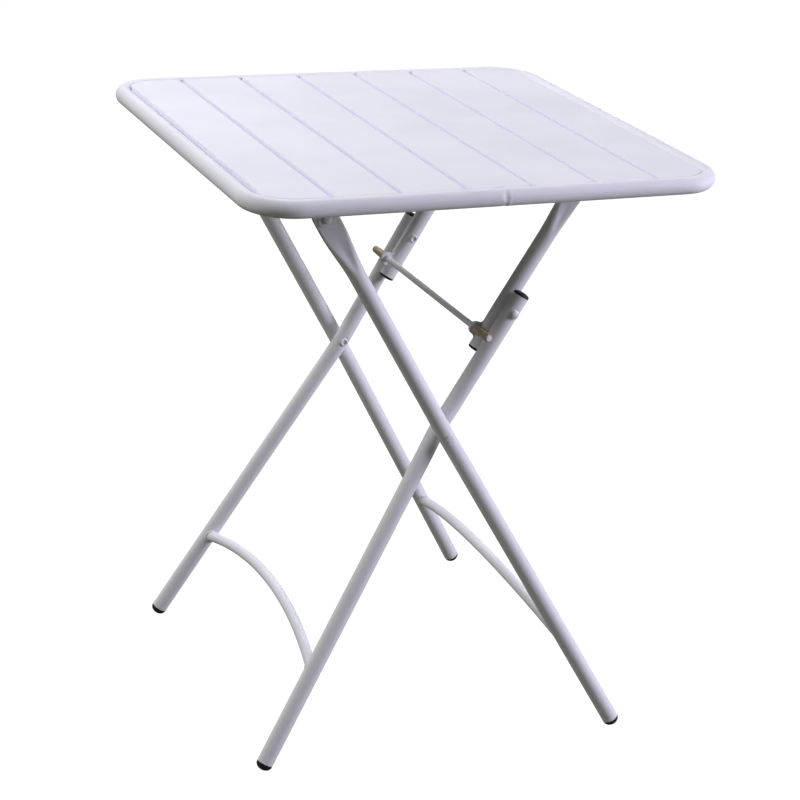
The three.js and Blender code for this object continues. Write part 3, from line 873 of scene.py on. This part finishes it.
def make_sleeve(end, side):
    """Nylon sleeve with a low collar against the tab. The back one tapers more to its tip."""
    low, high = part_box("rod_sleeve_back")
    length = high.y - low.y
    base = Vector((ROD_AXIS.x, low.y, ROD_AXIS.z))
    tip = 4.35 * MM if end == "back" else 4.8 * MM
    collar = 5.25 * MM
    barrel = 4.95 * MM
    bore = ROD + 0.1 * MM
    profile = [(bore, 0), (collar, 0), (collar, 1.5 * MM), (barrel, 2.4 * MM)]
    profile += [(barrel, length * 0.6), (tip, length), (bore, length), (bore, 0)]
    rings = mirror_rings(revolved(rounded(profile, 0.4 * MM), base, Y), side)
    name = f"nylon_sleeve_{end}"
    skin_piece(name, rings, "upper_links", TAN, [f"rod_sleeve_{end}"], closed=True)


LINK_OUT = Y.cross(LINK_DOWN).normalized()
ROD_REACH = (ROD_AXIS - LINK_PIVOT).dot(LINK_DOWN)
ROD_HEIGHT = (ROD_AXIS - LINK_PIVOT).dot(LINK_OUT)


def beside_link(along, out):
    """A point in X and Z, given along the link from the rod and out from the link's axis."""
    point = LINK_PIVOT + LINK_DOWN * (ROD_REACH + along) + LINK_OUT * out
    return (point.x, point.z)


def tab_flank():
    """One side of the tab, from its foot in the link's wall up to the lobe: (along, out) pairs."""
    root = TUBE * 0.6
    neck = TUBE * 1.02
    flank = []
    for t in spaced(0, 1, 0.125):
        along = curve(TAB_FOOT, TAB_LOBE, TAB_LOBE, t)
        flank.append((along, curve(root, neck, ROD_HEIGHT, t)))
    return flank


def make_tab(end, side):
    """Teardrop plate that carries the rod: a lobe round it, and a wide foot along the link."""
    low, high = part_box("lock_tab_back")
    outline = [beside_link(along, out) for along, out in tab_flank()]
    for i in range(1, 16):
        angle = math.pi * i / 16
        lobe = (TAB_LOBE * math.cos(angle), ROD_HEIGHT + TAB_LOBE * math.sin(angle))
        outline.append(beside_link(*lobe))
    outline += [beside_link(-along, out) for along, out in reversed(tab_flank())]
    near, far = sorted((low.y * side, high.y * side))
    plate_piece(f"rod_tab_{end}", outline, near, far, "upper_links", [f"lock_tab_{end}"], 0.6 * MM)


# ---- Welds ----
def bead(name, path, radius, body, closed=False):
    """Weld bead along a path of points: a rippled ridge that thins out at open ends."""
    rings = []
    count = len(path)
    run = 0
    for i, point in enumerate(path):
        before = path[i - 1] if closed or i else path[0]
        after = path[(i + 1) % count] if closed or i < count - 1 else path[-1]
        along = (after - before).normalized()
        across = along.orthogonal().normalized()
        up = along.cross(across)
        if i:
            run += (point - path[i - 1]).length
        ripple = 1 + 0.10 * math.sin(run / (0.42 * MM)) + 0.16 * noise.noise(point * 700)
        fade = 1 if closed else max(math.sin(math.pi * (i + 0.4) / (count - 0.2)), 0.05) ** 0.35
        size = radius * ripple * fade
        turn = [2 * math.pi * k / 12 for k in range(12)]
        rings.append([point + (across * math.cos(a) + up * math.sin(a)) * size for a in turn])
    skin_piece(name, rings, body, PAINT, closed=closed, sharp=80)


def straight_path(start, end, step=0.6 * MM):
    count = max(2, math.ceil((end - start).length / step))
    return [start.lerp(end, i / count) for i in range(count + 1)]


def arch_weld(name, down, offset, sizes, body, side):
    """Fillet round a brace's end: each point is where a line along the brace meets the leg."""
    at, half = arch_curve(down, offset, sizes)
    centre, out = at(half)
    across = Y.cross(down).normalized()
    along = across.cross(out).normalized()
    if along.y < 0:
        along = -along
    leg_centre, leg_axis, _, _ = station(CROSS, down, offset, sizes[0])
    path = []
    sides = 72
    for k in range(sides):
        angle = 2 * math.pi * k / sides
        start = centre + (across * math.cos(angle) + out * math.sin(angle)) * (ARCH + 0.3 * MM) - leg_centre
        flat_start = start - leg_axis * start.dot(leg_axis)
        flat_along = along - leg_axis * along.dot(leg_axis)
        a = flat_along.dot(flat_along)
        b = flat_start.dot(flat_along)
        c = flat_start.dot(flat_start) - (TUBE + 0.1 * MM) ** 2
        t = (-b - math.sqrt(max(b * b - a * c, 0))) / a
        path.append(mirrored(leg_centre + start + along * t, side))
    bead(name, path, 1.5 * MM, body, closed=True)


def make_tab_welds(end, side):
    low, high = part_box("lock_tab_back")
    half = 12 * MM
    for label, y in (("inner", low.y), ("outer", high.y)):
        rise = math.sqrt(TUBE ** 2 - (y - LINK_Y[1]) ** 2)
        ends = []
        for along in (ROD_REACH - half, ROD_REACH + half):
            ends.append(mirrored(LINK_PIVOT + LINK_DOWN * along + LINK_OUT * rise + Y * y, side))
        bead(f"tab_weld_{label}_{end}", straight_path(*ends), 1.1 * MM, "upper_links")


def make_ear_welds(end, side):
    """Upright beads that join the ears to the rail."""
    rail_low, rail_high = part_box("cross_rail_back")
    for ear, face in (("outer_ear", rail_high.y), ("link_ear", rail_low.y)):
        low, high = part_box(f"{ear}_back")
        for label, x in (("left", low.x), ("right", high.x)):
            start = mirrored(Vector((x, face, rail_low.z + 2 * MM)), side)
            stop = mirrored(Vector((x, face, rail_high.z - 3 * MM)), side)
            bead(f"{ear}_weld_{label}_{end}", straight_path(start, stop), 1.3 * MM, "table_top")


def make_rail_welds(end, side):
    """Beads round the rail's ends, where it meets the rim."""
    low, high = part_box("cross_rail_back")
    section = rounded_box_section((low.y, low.z), (high.y, high.z), RAIL_CORNER)
    for label, x in (("left", low.x), ("right", high.x)):
        loop = [mirrored(Vector((x, y, z)), side) for y, z in section]
        path = []
        for here, there in zip(loop, loop[1:] + loop[:1]):
            path += straight_path(here, there)[:-1]
        bead(f"rail_weld_{label}_{end}", path, 1.6 * MM, "table_top", closed=True)


def make_sheet_tacks():
    """Short tack welds under the sheet, between it and the rim."""
    radius = 1.4 * MM
    half = 10 * MM
    z = SHEET_Z - WALL - 0.6 * MM
    border_z = z - 3.2 * MM
    for i in range(5):
        along_x = (i - 2) * 90 * MM
        along_y = (i - 2) * 82 * MM
        for side, x in (("left", RIM - HALF_X), ("right", HALF_X - RIM)):
            start = Vector((x, along_y - half, border_z))
            bead(f"tack_{side}_{i}", straight_path(start, start + Y * 2 * half), radius, "table_top")
        for side, y in (("front", RIM * 0.8 - HALF_Y), ("back", HALF_Y - RIM * 0.8)):
            start = Vector((along_x - half, y, z))
            stop = start + Vector((2 * half, 0, 0))
            bead(f"tack_{side}_{i}", straight_path(start, stop), radius, "table_top")


# ---- Build ----
make_rim()
make_sheet()
make_sheet_tacks()
make_rod()
make_arch("outer_brace", OUTER_DOWN, outer_offset, OUTER_ARCH, "outer_legs", "outer_arch")
make_arch("inner_brace", INNER_DOWN, inner_offset, INNER_ARCH, "inner_legs", "inner_arch")

PIVOT_Y = inner_offset(-PIVOT_REACH)
for end, side in SIDES.items():
    make_rail(end)
    make_ear("outer_ear", "leg_ear", end)
    make_ear("link_ear", "link_hanger", end)
    make_outer_leg(end, side)
    make_inner_leg(end, side)
    make_link(end, side)
    make_rivet("cross_rivet", "crossing_rivet", CROSS_LINE, OUTER_Y[1] + TUBE, INNER_Y[1] - TUBE,
               CROSS_HEAD, "outer_legs", end, side)
    make_rivet("link_rivet", "pivot_rivet", PIVOT_LINE, PIVOT_Y + TUBE, LINK_Y[1] - TUBE,
               PIVOT_HEAD, "inner_legs", end, side)
    make_stud("outer_hinge_rivet", "hinge_rivet_leg_half", 1, "outer_legs", end, side)
    make_stud("outer_ear_rivet", "hinge_rivet_ear_half", -1, "table_top", end, side)
    make_stud("link_hinge_rivet", "link_hinge_stud", -1, "table_top", end, side)
    make_washer("cross_washer", "crossing_spacer", "outer_legs", end, side)
    make_washer("link_washer", "pivot_washer", "inner_legs", end, side)
    make_washer("outer_hinge_washer", "hinge_washer", "outer_legs", end, side)
    make_plug("outer_foot", "outer_foot_plug", CROSS, OUTER_DOWN, outer_offset, OUTER_END, 1,
              FOOT_DOME, "outer_legs", end, side)
    make_plug("inner_foot", "inner_foot_plug", CROSS, INNER_DOWN, inner_offset, INNER_END, 1,
              FOOT_DOME, "inner_legs", end, side)
    make_plug("inner_leg_cap", "leg_top_cap", CROSS, INNER_DOWN, inner_offset, -INNER_TOP, -1,
              INNER_CAP_DOME, "inner_legs", end, side)
    make_plug("link_cap", "link_end_cap", LINK_PIVOT, LINK_DOWN, link_offset, LINK_TAIL, 1,
              LINK_CAP_DOME, "upper_links", end, side)
    make_sleeve(end, side)
    make_tab(end, side)
    make_tab_welds(end, side)
    make_ear_welds(end, side)
    make_rail_welds(end, side)
    arch_weld(f"outer_brace_weld_{end}", OUTER_DOWN, outer_offset, OUTER_ARCH, "outer_legs", side)
    arch_weld(f"inner_brace_weld_{end}", INNER_DOWN, inner_offset, INNER_ARCH, "inner_legs", side)


# ---- Stage, light and camera ----
def make_floor():
    """Floor that the camera sees as white, and that gives the table only a faint warm glow from below."""
    material = bpy.data.materials.new("pale_floor")
    material.use_nodes = True
    tree = material.node_tree
    shader = tree.nodes["Principled BSDF"]
    shader.inputs["Base Color"].default_value = (0.15, 0.15, 0.10, 1)
    shader.inputs["Roughness"].default_value = 0.9
    glow = add_node(tree, "ShaderNodeEmission", Color=(1, 1, 1, 1), Strength=1.0)
    path = tree.nodes.new("ShaderNodeLightPath")
    both = tree.nodes.new("ShaderNodeAddShader")
    choose = tree.nodes.new("ShaderNodeMixShader")
    tree.links.new(shader.outputs[0], both.inputs[0])
    tree.links.new(glow.outputs[0], both.inputs[1])
    tree.links.new(path.outputs["Is Camera Ray"], choose.inputs[0])
    tree.links.new(shader.outputs[0], choose.inputs[1])
    tree.links.new(both.outputs[0], choose.inputs[2])
    tree.links.new(choose.outputs[0], tree.nodes["Material Output"].inputs["Surface"])
    corners = [(x * FLOOR_HALF, y * FLOOR_HALF, 0) for x, y in ((-1, -1), (1, -1), (1, 1), (-1, 1))]
    mesh = bpy.data.meshes.new("floor")
    mesh.from_pydata(corners, [], [(0, 1, 2, 3)])
    mesh.materials.append(material)
    floor = bpy.data.objects.new("floor", mesh)
    bpy.context.scene.collection.objects.link(floor)


def make_world():
    """White behind the table, and nearly dark for its light."""
    world = bpy.data.worlds.new("studio")
    bpy.context.scene.world = world
    world.use_nodes = True
    tree = world.node_tree
    dim = tree.nodes["Background"]
    dim.inputs["Color"].default_value = (0.95, 0.93, 0.80, 1)
    dim.inputs["Strength"].default_value = 0.03
    bright = add_node(tree, "ShaderNodeBackground", Color=(1, 1, 1, 1), Strength=1.0)
    path = tree.nodes.new("ShaderNodeLightPath")
    choose = tree.nodes.new("ShaderNodeMixShader")
    tree.links.new(path.outputs["Is Camera Ray"], choose.inputs[0])
    tree.links.new(dim.outputs[0], choose.inputs[1])
    tree.links.new(bright.outputs[0], choose.inputs[2])
    tree.links.new(choose.outputs[0], tree.nodes["World Output"].inputs["Surface"])


def soft_box(name, azimuth, elevation, power, colour):
    """Square area light on a sphere round the middle of the table, facing it. azimuth is from +X."""
    turn = math.radians(azimuth)
    tilt = math.radians(elevation)
    level = Vector((math.cos(turn), math.sin(turn), 0))
    towards = level * math.cos(tilt) + Z * math.sin(tilt)
    data = bpy.data.lights.new(name, "AREA")
    data.size = LIGHT_SIZE
    data.energy = power
    data.color = colour
    light = bpy.data.objects.new(name, data)
    bpy.context.scene.collection.objects.link(light)
    light.location = LIGHT_TARGET + towards * LIGHT_DISTANCE
    light.rotation_euler = towards.to_track_quat("Z", "Y").to_euler()


def make_camera():
    azimuth = math.radians(CAMERA_AZIMUTH)
    elevation = math.radians(CAMERA_ELEVATION)
    roll = math.radians(CAMERA_ROLL)
    away = Vector((math.sin(azimuth), -math.cos(azimuth), 0))
    back = away * math.cos(elevation) + Z * math.sin(elevation)
    level = Z.cross(back).normalized()
    upright = back.cross(level)
    right = level * math.cos(roll) + upright * math.sin(roll)
    up = upright * math.cos(roll) - level * math.sin(roll)
    data = bpy.data.cameras.new("camera")
    data.sensor_width = CAMERA_SENSOR
    data.lens = CAMERA_LENS
    data.clip_end = 100
    camera = bpy.data.objects.new("camera", data)
    bpy.context.scene.collection.objects.link(camera)
    turn = Matrix((right, up, back)).transposed().to_4x4()
    camera.matrix_world = Matrix.Translation(CAMERA_PLACE) @ turn
    bpy.context.scene.camera = camera


make_floor()
make_world()
soft_box("back_high", 90, 45, 60, (0.92, 0.93, 1.0))
soft_box("front_low", -38, 24, 88, (0.84, 0.82, 1.0))
soft_box("right_low", -15, 10, 26, (0.86, 0.84, 1.0))
soft_box("left_high", 168, 40, 62, (0.96, 0.96, 1.0))
make_camera()
bpy.context.scene.view_settings.view_transform = "Standard"
